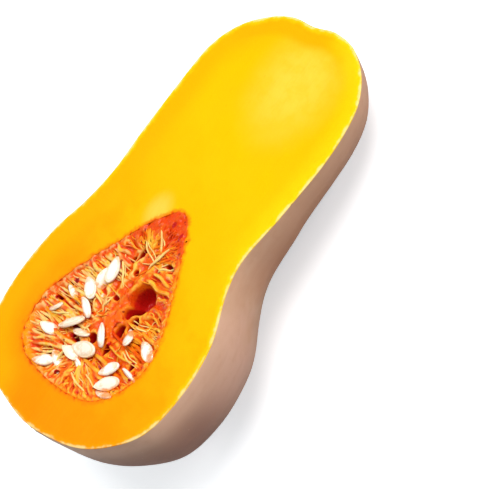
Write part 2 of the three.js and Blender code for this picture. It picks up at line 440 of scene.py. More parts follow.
def stringCurve(path, thick):
    bpy.ops.curve.primitive_nurbs_path_add(radius=1, location=(0, 0, 0))
    piece = bpy.context.object
    spline = piece.data.splines[0]
    spline.points.add(len(path) - len(spline.points))
    spline.order_u = 4
    spline.use_endpoint_u = True
    for i, (point, place) in enumerate(zip(spline.points, path)):
        share = strings["endShare"] if i in (0, len(path) - 1) else random.uniform(*strings["uneven"])
        point.co = (*place, 1)
        point.radius = thick / 2 * share
    return piece


def stringsFrom(curves, name):
    piece = joined(curves, name)
    piece.data.bevel_depth = 1
    piece.data.bevel_resolution = 1
    piece.data.resolution_u = 3
    onlyActive(piece)
    bpy.ops.object.convert(target="MESH")
    piece = bpy.context.object
    editing(piece)
    selectAll()
    bpy.ops.mesh.fill_holes(sides=0)    # their ends
    doneEditing()
    return piece


def rimPlace(angle, share):    # a place at this share of the way from the cavity's middle to its rim
    reach = rimReach(angle) * share
    x, y = cavity["middle"]
    return x + reach * math.cos(angle), y + reach * math.sin(angle)


def inwardStrings(count, thick, lift, sunk, wander, reachIn, between=(0, turn)):    # from the rim inwards
    curves = []
    low, high, off = strings["goal"]
    for i in range(count):
        angle = between[0] + (between[1] - between[0]) * (i + random.uniform(-0.4, 0.4)) / count
        start = rimPlace(angle, random.uniform(0.9, 1.0))
        goal = (np.clip(start[0], low, high) + random.uniform(-off, off), random.uniform(-off, off))
        share = random.uniform(*reachIn)
        end = tuple(a + (b - a) * share for a, b in zip(start, goal))
        path = stringPath(start, end, random.uniform(*lift), sunk, wander)
        across = sum(inHollow(x, y) for x, y, z in path)
        if across < (2 if random.random() < strings["bridging"] else 1):
            curves.append(stringCurve(path, random.uniform(*thick)))
    return curves


strings = {
    "fine": {"count": 250, "thick": (0.4, 0.8), "lift": (0.1, 1.1), "sunk": 0.5, "wander": 0.9,
             "reachIn": (0.25, 1.0)},
    "stout": {"count": 120, "thick": (0.9, 1.7), "lift": (0.0, 0.9), "sunk": 0.8, "wander": 0.8,
              "reachIn": (0.3, 0.95)},
    "tip": {"count": 80, "thick": (0.5, 1.3), "lift": (0.2, 1.2), "sunk": 0.5, "wander": 0.8,
            "reachIn": (0.3, 1.0), "between": (-0.34, 0.3)},
    "roots": {"count": 120, "thick": (1.3, 2.8), "lift": (0.1, 1.0), "sunk": 0.9, "wander": 1.4,
              "reachIn": (0.35, 0.98)},     # those that grow out of the pulp
    "cross": {"count": 110, "within": (0.15, 0.85), "long": (4, 11), "thick": (0.4, 0.9),
              "lift": (0.2, 1.3), "sunk": 0.6, "wander": 1.2},
    "goal": (42, 98, 5),        # they run to the middle line between these, and end this near it
    "bridging": 0.12,           # the share of them that may cross the edge of a hollow
    "endShare": 0.25,           # how thick their ends are
    "uneven": (0.8, 1.15),
    "long": [((114, 6), (100, -7)), ((104, 10), (96, -5)), ((92, 15), (79, 3)), ((109, -9), (92, -2)),
             ((101, -16), (94, -8)), ((73, 25), (66, 7)), ((47, 34), (55, 17)), ((33, 1), (29, -21)),
             ((37, -8), (32, -26)), ((70, -28), (67, -12)), ((53, -35), (55, -20)), ((26, 8), (41, 9))],
    "longThick": (0.7, 1.2),
    "longLift": 1.9,
    "longTint": (1.8, 2.6),
}


def longStrings():
    curves = []
    for start, end in strings["long"]:
        for aside in (0, random.uniform(1.4, 2.4)):    # each with a thinner one beside it
            beside = [(x + aside, y + 0.4 * aside) for x, y in (start, end)]
            path = stringPath(*beside, strings["longLift"] - 0.4 * aside, 0.5, 0.8)
            share = 1 if aside == 0 else 0.6
            curves.append(stringCurve(path, share * random.uniform(*strings["longThick"])))
    return curves


def crossStrings(count, within, long, thick, lift, sunk, wander):    # short ones that lie any way
    curves = []
    for _ in range(count):
        x, y = rimPlace(random.uniform(0, turn), random.uniform(*within))
        heading, reach = random.uniform(0, turn), random.uniform(*long)
        end = (x + reach * math.cos(heading), y + reach * math.sin(heading))
        if inHollow(x, y) or inHollow(*end):
            continue
        path = stringPath((x, y), end, random.uniform(*lift), sunk, wander)
        curves.append(stringCurve(path, random.uniform(*thick)))
    return curves


def makeStrings():
    long = longStrings()
    curves = inwardStrings(**strings["fine"]) + inwardStrings(**strings["stout"])
    curves += inwardStrings(**strings["tip"]) + crossStrings(**strings["cross"])
    tints = [random.uniform(*strings["longTint"]) for _ in long] + [random.random() for _ in curves]
    piece = stringsFrom(long + curves, "pulpStrings")
    pointValues(piece, "tint", np.repeat(tints, len(piece.data.vertices) // len(tints)))
    return piece


def makePulp():
    bed = cavityShape("pulp", pulp["bite"])
    (x0, y0), (x1, y1), step, high = pulp["block"]
    bpy.ops.mesh.primitive_grid_add(x_subdivisions=int((x1 - x0) / step),
                                    y_subdivisions=int((y1 - y0) / step), size=1)
    block = bpy.context.object
    editing(block)
    selectAll()
    bpy.ops.mesh.extrude_region_move(TRANSFORM_OT_translate={"value": (0, 0, high)})
    faceOutwards()
    doneEditing()
    places = points(block)
    places[:, 0] = (x0 + x1) / 2 + places[:, 0] * (x1 - x0)
    places[:, 1] = (y0 + y1) / 2 + places[:, 1] * (y1 - y0)
    under = places[:, 2] < 1
    low = places[under]
    grain, folds = pulp["grain"], pulp["folds"]
    dx, dy = low[:, 0] - grain["middle"], low[:, 1]
    radial = np.column_stack([np.arctan2(dy, dx / grain["stretch"]) * grain["around"],
                              np.hypot(dx, dy) * grain["out"], low[:, 2]])
    fine = lumpy(radial, 1.0, 4)
    for share, size, start in pulp["relief"]:
        fine = fine + share * lumpy(low, size, start)
    away = low[:, :2] - cavity["middle"]
    angle = np.arctan2(away[:, 1], away[:, 0])
    nearRim = smoothstep(np.hypot(*away.T) / rimReach(angle), *folds["within"])
    fine = fine + folds["high"] * (np.cos(folds["count"] * angle + folds["bend"] * fine) * nearRim)
    places[under, 2] = pulpHeight(low[:, 0], low[:, 1]) + pulp["fineRelief"] * fine
    setPoints(block, places)
    applyModifier(bed, "BOOLEAN", object=block, operation="DIFFERENCE", solver="MANIFOLD")
    bpy.data.objects.remove(block)
    roots = stringsFrom(inwardStrings(**strings["roots"]), "roots")
    bed = joined([bed, roots], "pulp")
    applyModifier(bed, "REMESH", mode="VOXEL", voxel_size=pulp["voxel"])
    hidden = bed.vertex_groups.new(name="hidden")
    hidden.add([int(i) for i in np.flatnonzero(points(bed)[:, 2] < pulp["hiddenUnder"])], 1.0, "ADD")
    applyModifier(bed, "DECIMATE", ratio=pulp["kept"], vertex_group="hidden")
    return bed


def markCreases(piece):    # above 0 on ridges, below 0 in creases
    edges = np.empty(len(piece.data.edges) * 2, int)
    piece.data.edges.foreach_get("vertices", edges)
    edges = edges.reshape(-1, 2)
    places = points(piece)
    smooth = places.copy()
    count = np.bincount(edges.ravel(), minlength=len(places))[:, None]
    for _ in range(pulp["smoothing"]):
        total = np.zeros_like(smooth)
        for axis in range(3):
            total[:, axis] = (np.bincount(edges[:, 0], smooth[edges[:, 1], axis], len(places))
                              + np.bincount(edges[:, 1], smooth[edges[:, 0], axis], len(places)))
        smooth = total / np.maximum(count, 1)
    normals = np.empty(len(places) * 3)
    piece.data.vertices.foreach_get("normal", normals)
    pointValues(piece, "crease", ((places - smooth) * normals.reshape(-1, 3)).sum(1))
    away = places[:, :2] - cavity["middle"]
    reach = rimReach(np.arctan2(away[:, 1], away[:, 0]))
    pointValues(piece, "fromRim", reach - np.hypot(*away.T))
    x, y = places[:, 0], places[:, 1]
    # pocket: how dark the painted shade laid in the hollows is
    pockets = [place[5] * pocketShare(x, y, place) for place in pulp["hollows"]]
    pointValues(piece, "pocket", np.max(pockets, axis=0))


seed = {
    "long": 14.6,
    "wide": 7.6,
    "thick": 2.8,
    "taper": 0.3,
    "faces": (28, 18),
    "section": [(0, 1), (0.3, 0.97), (0.55, 0.85), (0.7, 0.68), (0.79, 0.5), (0.84, 0.46), (0.9, 0.55),
                (0.95, 0.5), (0.985, 0.28), (1, 0)],    # across it: how far out, and how thick
    "lying": [(82.6, 13.5, -0.7, 22, -4, 3, 0.95), (76.3, 16.6, -2.0, 16, 40, 0, 0.85),
              (69.2, 18.7, -0.6, 59, -4, 6, 0.93), (60.7, 13.6, -0.6, 68, -34, 5, 0.92),
              (51, 15.4, -0.3, 132, 40, 3, 1.07), (41.9, 25.3, -1.2, 95, 30, -12, 0.85),
              (55, -4.7, -0.5, 48, -33, 5, 0.92), (44.8, -1.9, -0.1, 108, -12, 4, 1.07),
              (39.8, 3.6, -0.7, 93, 16, -18, 0.85), (28.6, 15.6, -1.0, 124, 20, -8, 0.88),
              (62, -19.2, -1.5, 49, -8, 28, 0.8), (62.3, -34.1, -0.8, 68, -13, 5, 0.9),
              (44.9, -21.3, -0.6, 137, 14, 8, 0.88), (39.2, -26.1, -0.5, 137, -10, -8, 0.92),
              (34.8, -27.6, -1.5, 105, 45, 6, 0.86), (48.8, -33.4, -1.2, 84, -75, 5, 0.85),
              (51.7, 31.4, -2.1, 120, 35, 20, 0.8), (50, 8, -2.0, 100, 50, 10, 0.85),
              (33, 9, -2.6, 70, 40, -15, 0.85)],    # middle, heading, roll, tip and size
    "beak": (0.72, 0.25, 0.03),     # the tip: where it starts, how far it narrows, how far it sticks out
    "bend": 0.012,
    "extra": {"count": 6, "within": (0.1, 0.82), "sunk": (1.0, 2.2), "roll": (-35, 35), "tip": (-30, 30),
              "heading": (40, 140), "size": (0.88, 1.0)},    # more of them, deeper in the pulp
    "bare": (84, 52, 4),        # none of those past the first x, nor past the second and on this side of y
    "apart": 6.2,
}


def makeSeed():
    bpy.ops.mesh.primitive_uv_sphere_add(segments=seed["faces"][0], ring_count=seed["faces"][1], radius=1)
    piece = bpy.context.object
    places = points(piece)
    out = np.hypot(places[:, 0], places[:, 1])
    far, thick = np.array(seed["section"]).T
    places[:, 2] = np.sign(places[:, 2]) * np.interp(out, far, thick) * seed["thick"] / 2
    start, narrower, longer = seed["beak"]
    beak = smoothstep(places[:, 0], start, 1)
    wide = seed["wide"] / 2 * (1 - seed["taper"] * smoothstep(places[:, 0], 0, 1))
    places[:, 1] *= wide * (1 - narrower * beak)
    places[:, 0] *= seed["long"] / 2 * (1 + longer * beak)
    setPoints(piece, places)
    pointValues(piece, "outward", out)
    bpy.ops.object.shade_smooth()
    return piece


def placeSeed(first, place, roll, tip, heading, size):
    onlyActive(first)
    bpy.ops.object.duplicate()
    piece = bpy.context.object
    place = Matrix.Translation(place)
    for angle, axis in ((heading, "Z"), (tip, "Y"), (roll, "X")):
        place = place @ Matrix.Rotation(math.radians(angle), 4, axis)
    bend = random.uniform(-seed["bend"], seed["bend"])
    places = points(piece)
    places[:, 2] += bend * places[:, 0] ** 2
    setPoints(piece, places * size)
    piece.data.transform(place)
    pointValues(piece, "tint", np.full(len(places), random.random()))
    return piece


def makeSeeds():
    first = makeSeed()
    placed, centres = [], []
    for x, y, z, heading, roll, tip, size in seed["lying"]:
        placed.append(placeSeed(first, (x, y, z), roll, tip, heading, size))
        centres.append((x, y))
    extra = seed["extra"]
    far, middle, side = seed["bare"]
    while len(placed) < len(seed["lying"]) + extra["count"]:
        x, y = rimPlace(random.uniform(0, turn), random.uniform(*extra["within"]))
        tooNear = min(math.hypot(x - a, y - b) for a, b in centres) < seed["apart"]
        if x > far or (x > middle and y < side) or inHollow(x, y) or tooNear:
            continue
        z = float(pulpHeight(x, y)) - random.uniform(*extra["sunk"])
        lie = [random.uniform(*extra[name]) for name in ("roll", "tip", "heading", "size")]
        placed.append(placeSeed(first, (x, y, z), *lie))
        centres.append((x, y))
    bpy.data.objects.remove(first)
    piece = joined(placed, "seeds")
    x, y, z = points(piece).T
    pointValues(piece, "clear", z - pulpHeight(x, y))    # how far they stand over the pulp
    return piece


scar = {
    "place": (1.1, 1.9, -10),       # where the blossom dropped off
    "around": 30,
    "rings": [(5.2, 0.0), (4.7, 0.9), (4.0, 1.15), (3.1, 0.8), (2.2, 0.7), (1.2, 1.0), (0.5, 1.25)],
    "thick": 0.4,
    "rough": (0.22, 1.3),       # how high and how wide its lumps are
    "wavy": (0.09, 4),
}


def makeScar():
    bpy.ops.mesh.primitive_circle_add(vertices=scar["around"], radius=scar["rings"][0][0], fill_type="NGON",
                                      location=(0, 0, 0))
    piece = bpy.context.object
    piece.name = "blossomScar"
    editing(piece, "FACE")
    selectAll()
    bpy.ops.mesh.extrude_region_move(TRANSFORM_OT_translate={"value": (0, 0, scar["thick"])})
    for (wide, low), (narrow, high) in zip(scar["rings"], scar["rings"][1:]):
        bpy.ops.mesh.inset(thickness=wide - narrow)
        bpy.ops.transform.translate(value=(0, 0, high - low))
    faceOutwards()
    doneEditing()
    applyModifier(piece, "SUBSURF", levels=1, render_levels=1)
    places = points(piece)
    high, size = scar["rough"]
    places += high * np.column_stack([lumpy(places, size, start) for start in (2, 5, 9)])
    high, size = scar["wavy"]
    places[:, :2] *= (1 + high * lumpy(places * (1, 1, 0), size, 12))[:, None]
    x, y, z = scar["place"]
    setPoints(piece, np.column_stack([x - places[:, 2], y + places[:, 0], z - places[:, 1]]))
    editing(piece)
    faceOutwards()
    doneEditing()
    return piece


def layDown(pieces, half):    # from the knife's plane to the floor, in metres
    slope = math.radians(squash["restSlope"])
    tip = np.array(Matrix.Rotation(slope, 3, "Y"))
    laid = points(half) @ tip.T * mm
    low, high = (np.array(corner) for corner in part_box("squash_half"))
    shift = (low + high) / 2 - (laid.min(0) + laid.max(0)) / 2
    shift[2] = high[2] - laid[:, 2].max()
    for piece in pieces:
        setPoints(piece, np.clip(points(piece) @ tip.T * mm + shift, low, high))
    return Matrix.Translation(shift) @ Matrix.Rotation(slope, 4, "Y") @ Matrix.Scale(mm, 4)


studioLight = 1.25    # how bright a white card shows: over 1, so that the floor is white to its edges


def colour(red, green, blue):    # from screen values of 0 to 255, as seen in the studio's light
    linear = (((c / 255 + 0.055) / 1.055) ** 2.4 if c > 10 else c / 3294.6 for c in (red, green, blue))
    return (*(c / studioLight for c in linear), 1)


def addNode(tree, kind, inputs=(), **settings):
    node = tree.nodes.new(kind)
    for name, value in settings.items():
        setattr(node, name, value)
    for socket, value in dict(inputs).items():
        if isinstance(value, bpy.types.NodeSocket):
            tree.links.new(value, node.inputs[socket])
        else:
            node.inputs[socket].default_value = value
    return node


def maths(tree, operation, *values):
    return addNode(tree, "ShaderNodeMath", enumerate(values), operation=operation).outputs[0]


def times(tree, first, second):
    return maths(tree, "MULTIPLY", first, second)


def mixed(tree, share, first, second):    # of two colours
    return addNode(tree, "ShaderNodeMix", {0: share, 6: first, 7: second}, data_type="RGBA").outputs[2]


def layered(tree, tone, *layers):    # each layer has a mask and the colour that it lays over the rest
    for mask, over in layers:
        tone = mixed(tree, mask, tone, over)
    return tone


def ranged(tree, value, low, high, toLow=0.0, toHigh=1.0):
    node = addNode(tree, "ShaderNodeMapRange", {0: value, 1: low, 2: high, 3: toLow, 4: toHigh},
                   interpolation_type="SMOOTHSTEP")
    return node.outputs[0]


def mapped(tree, vector, scale=(1, 1, 1), location=(0, 0, 0)):
    inputs = {"Vector": vector, "Scale": scale, "Location": location}
    return addNode(tree, "ShaderNodeMapping", inputs).outputs[0]


def ramped(tree, value, stops):
    node = addNode(tree, "ShaderNodeValToRGB", {0: value})
    elements = node.color_ramp.elements
    while len(elements) < len(stops):
        elements.new(0.5)
    for element, (place, tone) in zip(elements, stops):
        element.position = place
        element.color = tone
    return node.outputs[0]


def axes(tree, vector):
    return addNode(tree, "ShaderNodeSeparateXYZ", {0: vector}).outputs


def setValues(sockets, values):
    for name, value in values.items():
        sockets[name].default_value = value


def attribute(tree, name):
    return addNode(tree, "ShaderNodeAttribute", attribute_name=name).outputs["Fac"]


def bumped(tree, height, distance, strength):
    inputs = {"Height": height, "Distance": distance, "Strength": strength}
    return addNode(tree, "ShaderNodeBump", inputs).outputs[0]


def newGroup(name, numbers):
    group = bpy.data.node_groups.new(name, "ShaderNodeTree")
    group.interface.new_socket(name="Vector", in_out="INPUT", socket_type="NodeSocketVector")
    for number in numbers:
        group.interface.new_socket(name=number, in_out="INPUT", socket_type="NodeSocketFloat")
    group.interface.new_socket(name="Mask", in_out="OUTPUT", socket_type="NodeSocketFloat")
    return group, group.nodes.new("NodeGroupInput").outputs, group.nodes.new("NodeGroupOutput").inputs


def makeMottleGroup():    # soft patches about Size wide, where the noise goes from Low to High
    group, given, out = newGroup("mottle", ("Size", "Detail", "Low", "High"))
    scale = maths(group, "DIVIDE", 1.0, given["Size"])
    texture = addNode(group, "ShaderNodeTexNoise", {"Vector": given["Vector"], "Scale": scale,
                                                    "Detail": given["Detail"], "Roughness": 0.6})
    group.links.new(ranged(group, texture.outputs[0], given["Low"], given["High"]), out["Mask"])
    return group


def makeSpecksGroup():    # small round dots, in a Share of cells that are Spacing apart
    group, given, out = newGroup("specks", ("Spacing", "Radius", "Share"))
    scale = maths(group, "DIVIDE", 1.0, given["Spacing"])
    cells = addNode(group, "ShaderNodeTexVoronoi", {"Vector": given["Vector"], "Scale": scale})
    distance = times(group, cells.outputs["Distance"], given["Spacing"])
    draw = addNode(group, "ShaderNodeSeparateColor", {0: cells.outputs["Color"]}).outputs
    size = times(group, given["Radius"], maths(group, "ADD", draw[1], 0.4))
    dot = ranged(group, distance, times(group, size, 0.5), size, 1.0, 0.0)
    chosen = maths(group, "LESS_THAN", draw[0], given["Share"])
    group.links.new(times(group, dot, chosen), out["Mask"])
    return group


mottleGroup, specksGroup = makeMottleGroup(), makeSpecksGroup()


def mottle(tree, vector, size, detail=3.0, low=0.38, high=0.62):
    inputs = {"Vector": vector, "Size": size, "Detail": detail, "Low": low, "High": high}
    return addNode(tree, "ShaderNodeGroup", inputs, node_tree=mottleGroup).outputs[0]


def specks(tree, vector, spacing, radius, share):
    inputs = {"Vector": vector, "Spacing": spacing, "Radius": radius, "Share": share}
    return addNode(tree, "ShaderNodeGroup", inputs, node_tree=specksGroup).outputs[0]


def startMaterial(material, laid):    # its tree, its shader and the knife's own millimetres
    material.use_nodes = True
    tree = material.node_tree
    back = laid.inverted()
    inputs = {"Vector": addNode(tree, "ShaderNodeTexCoord").outputs["Object"], "Location": back.translation,
              "Rotation": back.to_euler(), "Scale": back.to_scale()}
    place = addNode(tree, "ShaderNodeMapping", inputs).outputs[0]
    return tree, tree.nodes["Principled BSDF"].inputs, place


def finish(tree, shader, tone, roughness, normal, fixed):    # fixed: the values that don't change over it
    for name, value in (("Base Color", tone), ("Roughness", roughness), ("Normal", normal)):
        tree.links.new(value, shader[name])
    setValues(shader, fixed)


def spot(tree, place, middle, size, near, far):    # 1 inside an oval, fading to 0
    shifted = mapped(tree, place, [1 / s for s in size], [-m / s for m, s in zip(middle, size)])
    away = addNode(tree, "ShaderNodeVectorMath", {0: shifted}, operation="LENGTH").outputs["Value"]
    return ranged(tree, away, near, far, 1.0, 0.0)


rind = {
    "buff": colour(222, 166, 130),
    "pale": colour(234, 190, 158),
    "tan": colour(216, 146, 108),
    # the painted floor light on the -Y side
    "mauve": colour(236, 184, 160),
    # painted shade for the bulb's lower flank on the -Y side
    "paintedShade": colour(150, 98, 82),
    "streak": colour(204, 142, 108),
    "freckle": colour(182, 128, 94),
    "cork": colour(158, 124, 88),
    "stem": (229, 0, 8),
    "blossom": (0, 0, -10),
    "fixed": {"Specular IOR Level": 0.4, "Subsurface Weight": 0.06,
              "Subsurface Radius": (0.004, 0.002, 0.001)},
}


def dressRind(material, laid):
    tree, shader, place = startMaterial(material, laid)
    x, y, z = axes(tree, place)
    soft = mottle(tree, place, 48, 3.0, 0.3, 0.7)
    wave = ranged(tree, mottle(tree, place, 30, 3.0, 0.3, 0.7), 0.0, 1.0, -16.0, 16.0)
    broad = maths(tree, "ADD", x, wave)
    # painted light: the bulb and waist on the -Y side are laid paler and pinker, for the floor's light
    # thrown back on them
    paintedFloorLight = times(tree, ranged(tree, broad, 126, 74, 0.0, 0.9), ranged(tree, y, 5, -35))
    # painted shade: the bulb's lower flank on the -Y side is laid darker, towards the blossom end and
    # further below the cut
    paintedShade = times(tree, ranged(tree, x, 80, 44, 0.0, 0.8), ranged(tree, y, -12, -42))
    paintedShade = times(tree, paintedShade, ranged(tree, z, -3, -16))
    streaks = mottle(tree, mapped(tree, place, (0.06, 1, 1)), 4.2, 4.0, 0.42, 0.8)
    blots = mottle(tree, place, 6.5, 5.0, 0.5, 0.72)
    pores = specks(tree, place, 3.0, 0.36, 0.45)
    freckles = times(tree, specks(tree, place, 13, 0.6, 0.2), ranged(tree, z, -8, -4, 0.35, 0.0))
    corky = maths(tree, "ADD", spot(tree, place, rind["stem"], (14, 14, 14), 0.5, 1.3),
                  spot(tree, place, rind["blossom"], (11, 11, 11), 0.3, 1.2))
    corky = times(tree, corky, mottle(tree, place, 2.6, 5.0, 0.25, 0.6))
    tone = layered(tree, rind["buff"],
                   (soft, rind["pale"]),
                   (ranged(tree, broad, 96, 150, 0.0, 0.75), rind["tan"]),
                   (paintedFloorLight, rind["mauve"]),
                   (paintedShade, rind["paintedShade"]),
                   # painted light: the skin is laid paler towards the cut, its top, and darker further down
                   (ranged(tree, z, -30, -2, 0.0, 0.55), rind["pale"]),
                   (times(tree, streaks, 0.2), rind["streak"]),
                   (times(tree, blots, 0.16), rind["streak"]),
                   (times(tree, pores, 0.35), rind["pale"]),
                   (freckles, rind["freckle"]),
                   (corky, rind["cork"]))
    height = maths(tree, "ADD", times(tree, mottle(tree, place, 0.9, 4.0, 0.2, 0.8), 0.35),
                   times(tree, streaks, -0.2))
    height = maths(tree, "SUBTRACT", height, times(tree, pores, 0.4))
    rough = ranged(tree, soft, 0.0, 1.0, 0.48, 0.38)
    finish(tree, shader, tone, rough, bumped(tree, height, 0.0001, 0.5), rind["fixed"])


cork = {
    "tan": colour(186, 150, 110),
    "brown": colour(122, 88, 58),
    "dark": colour(84, 58, 40),
    "fixed": {"Specular IOR Level": 0.2},
}


def dressCork(material, laid):
    tree, shader, place = startMaterial(material, laid)
    patches = mottle(tree, place, 1.6, 5.0, 0.35, 0.65)
    cracks = mottle(tree, mapped(tree, place, (1, 0.5, 2)), 0.7, 4.0, 0.5, 0.68)
    tone = layered(tree, cork["tan"], (patches, cork["brown"]), (times(tree, cracks, 0.7), cork["dark"]))
    rough = ranged(tree, patches, 0.0, 1.0, 0.75, 0.9)
    normal = bumped(tree, maths(tree, "SUBTRACT", patches, cracks), 0.0003, 0.8)
    finish(tree, shader, tone, rough, normal, cork["fixed"])


flesh = {
    "along": [(0.0, colour(255, 144, 0)), (0.14, colour(255, 151, 0)), (0.3, colour(255, 166, 0)),
              (0.46, colour(255, 188, 0)), (0.7, colour(255, 197, 0)), (1.0, colour(255, 190, 0))],
    "length": 235.0,            # how far those tones are spread
    # the painted sheen over the neck
    "pale": colour(255, 212, 66),
    "golden": colour(253, 178, 0),
    "bright": colour(255, 220, 12),
    "edge": colour(255, 232, 160),
    "tip": colour(255, 222, 100),
    "rimOrange": colour(252, 128, 10),
    "rimRed": colour(222, 52, 6),
    "dot": colour(240, 150, 6),
    "fixed": {"Specular IOR Level": 0.04, "Subsurface Weight": 0.1,
              "Subsurface Radius": (0.006, 0.003, 0.0006)},
}


def dressFlesh(material, laid):
    tree, shader, place = startMaterial(material, laid)
    x, y, _ = axes(tree, place)
    fromSkin, fromCavity = attribute(tree, "fromSkin"), attribute(tree, "fromCavity")
    wave = mottle(tree, place, 26, 3.0, 0.3, 0.7)
    across = maths(tree, "ADD", x, times(tree, y, -0.42))
    across = maths(tree, "ADD", across, ranged(tree, wave, 0.0, 1.0, -9.0, 9.0))
    # painted sheen: a paler patch over the neck stands for a soft reflection of the light
    paintedSheen = times(tree, spot(tree, place, (203, -12, 0), (36, 29, 20), 0.15, 1.15),
                  ranged(tree, mottle(tree, place, 9, 4.0, 0.25, 0.7), 0.0, 1.0, 0.55, 0.95))
    stemEnd = times(tree, ranged(tree, x, 186, 214), ranged(tree, fromSkin, 7.0, 13.0, 1.0, 0.0))
    stemEnd = times(tree, stemEnd, ranged(tree, y, -40, -20))
    leftSide = times(tree, ranged(tree, y, 12, 34), ranged(tree, fromSkin, 6.0, 22.0, 0.75, 0.0))
    near = maths(tree, "SUBTRACT", fromSkin, times(tree, mottle(tree, place, 7, 3.0, 0.3, 0.7), 1.6))
    brightEdge = times(tree, ranged(tree, near, -0.4, 2.4, 0.6, 0.0),
                       ranged(tree, across, 40, 120, 0.15, 1.0))
    neckSide = times(tree, ranged(tree, x, 90, 150), ranged(tree, y, -8, -22))
    tip = spot(tree, place, (118, 12, 0), (13, 10, 20), 0.2, 1.0)
    jagged = times(tree, mottle(tree, place, 3.2, 4.0, 0.3, 0.7), 1.7)
    ragged = maths(tree, "SUBTRACT", fromCavity, jagged)
    grain = mottle(tree, place, 0.9, 4.0, 0.25, 0.75)
    threads = mottle(tree, mapped(tree, place, (0.12, 1, 1)), 1.3, 3.0, 0.45, 0.75)
    dots = specks(tree, mapped(tree, place, (0.6, 1, 1)), 4.4, 0.5, 0.35)
    tone = layered(tree, ramped(tree, maths(tree, "DIVIDE", across, flesh["length"]), flesh["along"]),
                   (paintedSheen, flesh["pale"]),
                   (maths(tree, "MAXIMUM", stemEnd, leftSide), flesh["golden"]),
                   (brightEdge, flesh["bright"]),
                   (times(tree, neckSide, ranged(tree, near, 1.0, 13.0, 0.55, 0.0)), flesh["bright"]),
                   (ranged(tree, near, -1.2, 0.25, 0.75, 0.0), flesh["edge"]),
                   (times(tree, tip, 0.5), flesh["tip"]),
                   (ranged(tree, ragged, -0.2, 1.9, 0.8, 0.0), flesh["rimOrange"]),
                   (ranged(tree, ragged, -1.2, 0.1, 0.85, 0.0), flesh["rimRed"]),
                   (times(tree, threads, 0.14), flesh["golden"]),
                   (times(tree, dots, 0.16), flesh["dot"]))
    height = maths(tree, "ADD", times(tree, grain, 0.5), times(tree, threads, 0.35))
    rough = ranged(tree, wave, 0.0, 1.0, 0.36, 0.5)
    finish(tree, shader, tone, rough, bumped(tree, height, 0.00014, 0.5), flesh["fixed"])


wet = {
    "byTint": [(0.0, colour(234, 66, 2)), (0.18, colour(246, 104, 4)), (0.44, colour(255, 156, 28)),
               (0.66, colour(255, 200, 66)), (0.86, colour(255, 206, 126)), (1.0, colour(255, 226, 138))],
    "gold": colour(255, 200, 66),
    "peach": colour(255, 206, 126),
    "amber": colour(255, 156, 28),
    "orange": colour(246, 104, 4),
    "rimOrange": colour(255, 152, 4),
    "red": colour(234, 66, 2),
    # deepRed and dark are painted shade: in the creases, the depths, the hollows and the dark dots
    "deepRed": colour(196, 20, 14),
    "dark": colour(138, 4, 8),
    "glow": ((64, -7, -3), (22, 13, 20)),    # where it is more orange: middle and size
    "pulpFixed": {"Coat Weight": 0.2, "Coat Roughness": 0.08, "Specular IOR Level": 0.1,
                  "Subsurface Weight": 0.15, "Subsurface Radius": (0.003, 0.0012, 0.0004)},
    "stringsFixed": {"Coat Weight": 0.2, "Coat Roughness": 0.08, "Specular IOR Level": 0.1,
                     "Subsurface Weight": 0.2, "Subsurface Radius": (0.002, 0.001, 0.0005)},
}


